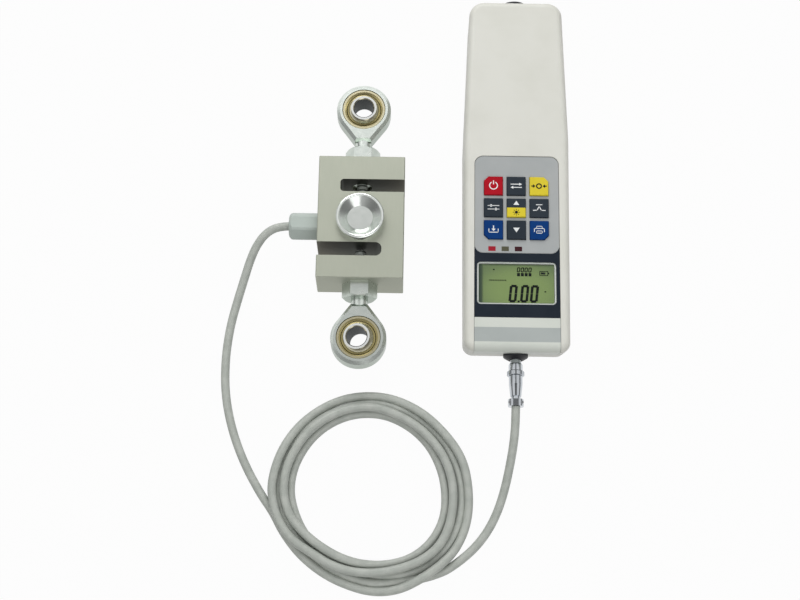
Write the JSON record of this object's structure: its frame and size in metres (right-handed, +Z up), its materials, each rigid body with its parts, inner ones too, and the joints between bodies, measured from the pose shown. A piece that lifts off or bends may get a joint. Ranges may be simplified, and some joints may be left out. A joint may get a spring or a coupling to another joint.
{
  "type": "force gauge",
  "caption": "Hand-held digital force gauge: tapered display unit with keypad, joined by a coiled cord and plug to an S-shaped load cell with a ball-jointed rod end at each end.",
  "frame": {"origin": "on the table the gauge lies on, under the middle of the box round the display unit and the load cell (cord and plug left out)", "axes": "+X from the load cell to the display unit, +Y along the display unit from its plug end to its grip end, +Z up out of the display"},
  "size_m": [0.2024, 0.3633, 0.0369],
  "materials": {
    "cream_shell": "fine satin, warm off-white",
    "label_grey": "satin",
    "keypad_grey": "satin film",
    "mask_navy": "satin-gloss film",
    "window_clear": "clear, polished",
    "bezel_light": "satin",
    "lcd_green": "reflective display glass",
    "backlight_white": "diffusing",
    "light_red": "clear red lens",
    "light_olive": "clear olive lens",
    "light_dark_red": "clear dark red lens",
    "key_red": "satin",
    "key_slate": "satin",
    "key_yellow": "satin",
    "key_blue": "satin",
    "board_green": "solder mask",
    "switch_steel": "bright dome",
    "chip_black": "matte",
    "battery_wrap": "shrink sleeve",
    "collar_black": "satin",
    "plated_steel": "bright nickel plate",
    "contact_brass": "gold flash",
    "screw_steel": "zinc plate",
    "insert_brass": "turned",
    "cell_steel": "satin nickel plate, warm grey",
    "cap_stainless": "drawn, polished",
    "gauge_foil": "polyimide foil",
    "gland_grey": "satin",
    "seal_rubber": "matte",
    "zinc_steel": "bright zinc plate, bluish",
    "bronze_race": "bearing bronze",
    "ball_steel": "ground and polished",
    "cord_grey": "satin jacket"
  },
  "bodies": {
    "instrument": {"front_housing": "cream_shell", "rear_housing": "cream_shell", "end_cover": "cream_shell", "label_plate": "label_grey", "keypad_panel": "keypad_grey", "display_mask": "mask_navy", "display_window": "window_clear", "display_bezel": "bezel_light", "lcd_panel": "lcd_green", "lcd_backlight": "backlight_white", "status_light_left": "light_red", "status_light_middle": "light_olive", "status_light_right": "light_dark_red", "key_switches": "switch_steel", "main_board": "board_green", "board_chips": "chip_black", "battery_cells": "battery_wrap", "socket_collar": "collar_black", "sensor_socket": "plated_steel", "socket_contacts": "contact_brass", "grip_collar": "collar_black", "charging_socket": "collar_black", "housing_screws": "screw_steel", "mounting_inserts": "insert_brass", "sensor_body": "cell_steel", "sensor_cap_front": "cap_stainless", "sensor_cap_rear": "cap_stainless", "strain_gauges": "gauge_foil", "bridge_board": "board_green", "gland_body": "gland_grey", "gland_nut": "gland_grey", "gland_seal": "seal_rubber", "upper_jam_nut": "zinc_steel", "lower_jam_nut": "zinc_steel", "upper_rod_end": "zinc_steel", "lower_rod_end": "zinc_steel", "upper_race": "bronze_race", "lower_race": "bronze_race", "sensor_lead": "cord_grey", "cord_coil": "cord_grey", "plug_lead": "cord_grey", "plug_barrel": "plated_steel", "plug_clamp": "plated_steel", "clamp_screws": "screw_steel", "plug_contacts": "contact_brass"},
    "key_power": {"key_power": "key_red"},
    "key_unit": {"key_unit": "key_slate"},
    "key_zero": {"key_zero": "key_yellow"},
    "key_set": {"key_set": "key_slate"},
    "key_up": {"key_up": "key_slate"},
    "key_peak": {"key_peak": "key_slate"},
    "key_memory": {"key_memory": "key_blue"},
    "key_down": {"key_down": "key_slate"},
    "key_print": {"key_print": "key_blue"},
    "upper_ball": {"upper_ball": "ball_steel"},
    "lower_ball": {"lower_ball": "ball_steel"},
    "plug_ring": {"plug_ring": "plated_steel"}
  },
  "joints": [
    {"name": "key_power_press", "type": "slide", "parent": "instrument", "child": "key_power", "axis": [0, 0, -1], "range_m": [0, 0.0005], "stiffness_N_per_m": 1000, "springref_m": -0.0002},
    {"name": "key_unit_press", "type": "slide", "parent": "instrument", "child": "key_unit", "axis": [0, 0, -1], "range_m": [0, 0.0005], "stiffness_N_per_m": 1000, "springref_m": -0.0002},
    {"name": "key_zero_press", "type": "slide", "parent": "instrument", "child": "key_zero", "axis": [0, 0, -1], "range_m": [0, 0.0005], "stiffness_N_per_m": 1000, "springref_m": -0.0002},
    {"name": "key_set_press", "type": "slide", "parent": "instrument", "child": "key_set", "axis": [0, 0, -1], "range_m": [0, 0.0005], "stiffness_N_per_m": 1000, "springref_m": -0.0002},
    {"name": "key_up_press", "type": "slide", "parent": "instrument", "child": "key_up", "axis": [0, 0, -1], "range_m": [0, 0.0005], "stiffness_N_per_m": 1000, "springref_m": -0.0002},
    {"name": "key_peak_press", "type": "slide", "parent": "instrument", "child": "key_peak", "axis": [0, 0, -1], "range_m": [0, 0.0005], "stiffness_N_per_m": 1000, "springref_m": -0.0002},
    {"name": "key_memory_press", "type": "slide", "parent": "instrument", "child": "key_memory", "axis": [0, 0, -1], "range_m": [0, 0.0005], "stiffness_N_per_m": 1000, "springref_m": -0.0002},
    {"name": "key_down_press", "type": "slide", "parent": "instrument", "child": "key_down", "axis": [0, 0, -1], "range_m": [0, 0.0005], "stiffness_N_per_m": 1000, "springref_m": -0.0002},
    {"name": "key_print_press", "type": "slide", "parent": "instrument", "child": "key_print", "axis": [0, 0, -1], "range_m": [0, 0.0005], "stiffness_N_per_m": 1000, "springref_m": -0.0002},
    {"name": "upper_ball_swivel", "type": "hinge", "parent": "instrument", "child": "upper_ball", "pos_m": [-0.04065, 0.0442, 0.0141], "axis": [0, 1, 0], "range_deg": [-13, 13]},
    {"name": "lower_ball_swivel", "type": "hinge", "parent": "instrument", "child": "lower_ball", "pos_m": [-0.04065, -0.1, 0.0141], "axis": [0, 1, 0], "range_deg": [-6, 20]},
    {"name": "plug_ring_turn", "type": "hinge", "parent": "instrument", "child": "plug_ring", "pos_m": [0.05045, -0.118, 0.018], "axis": [0, 1, 0], "continuous": true}
  ]
}
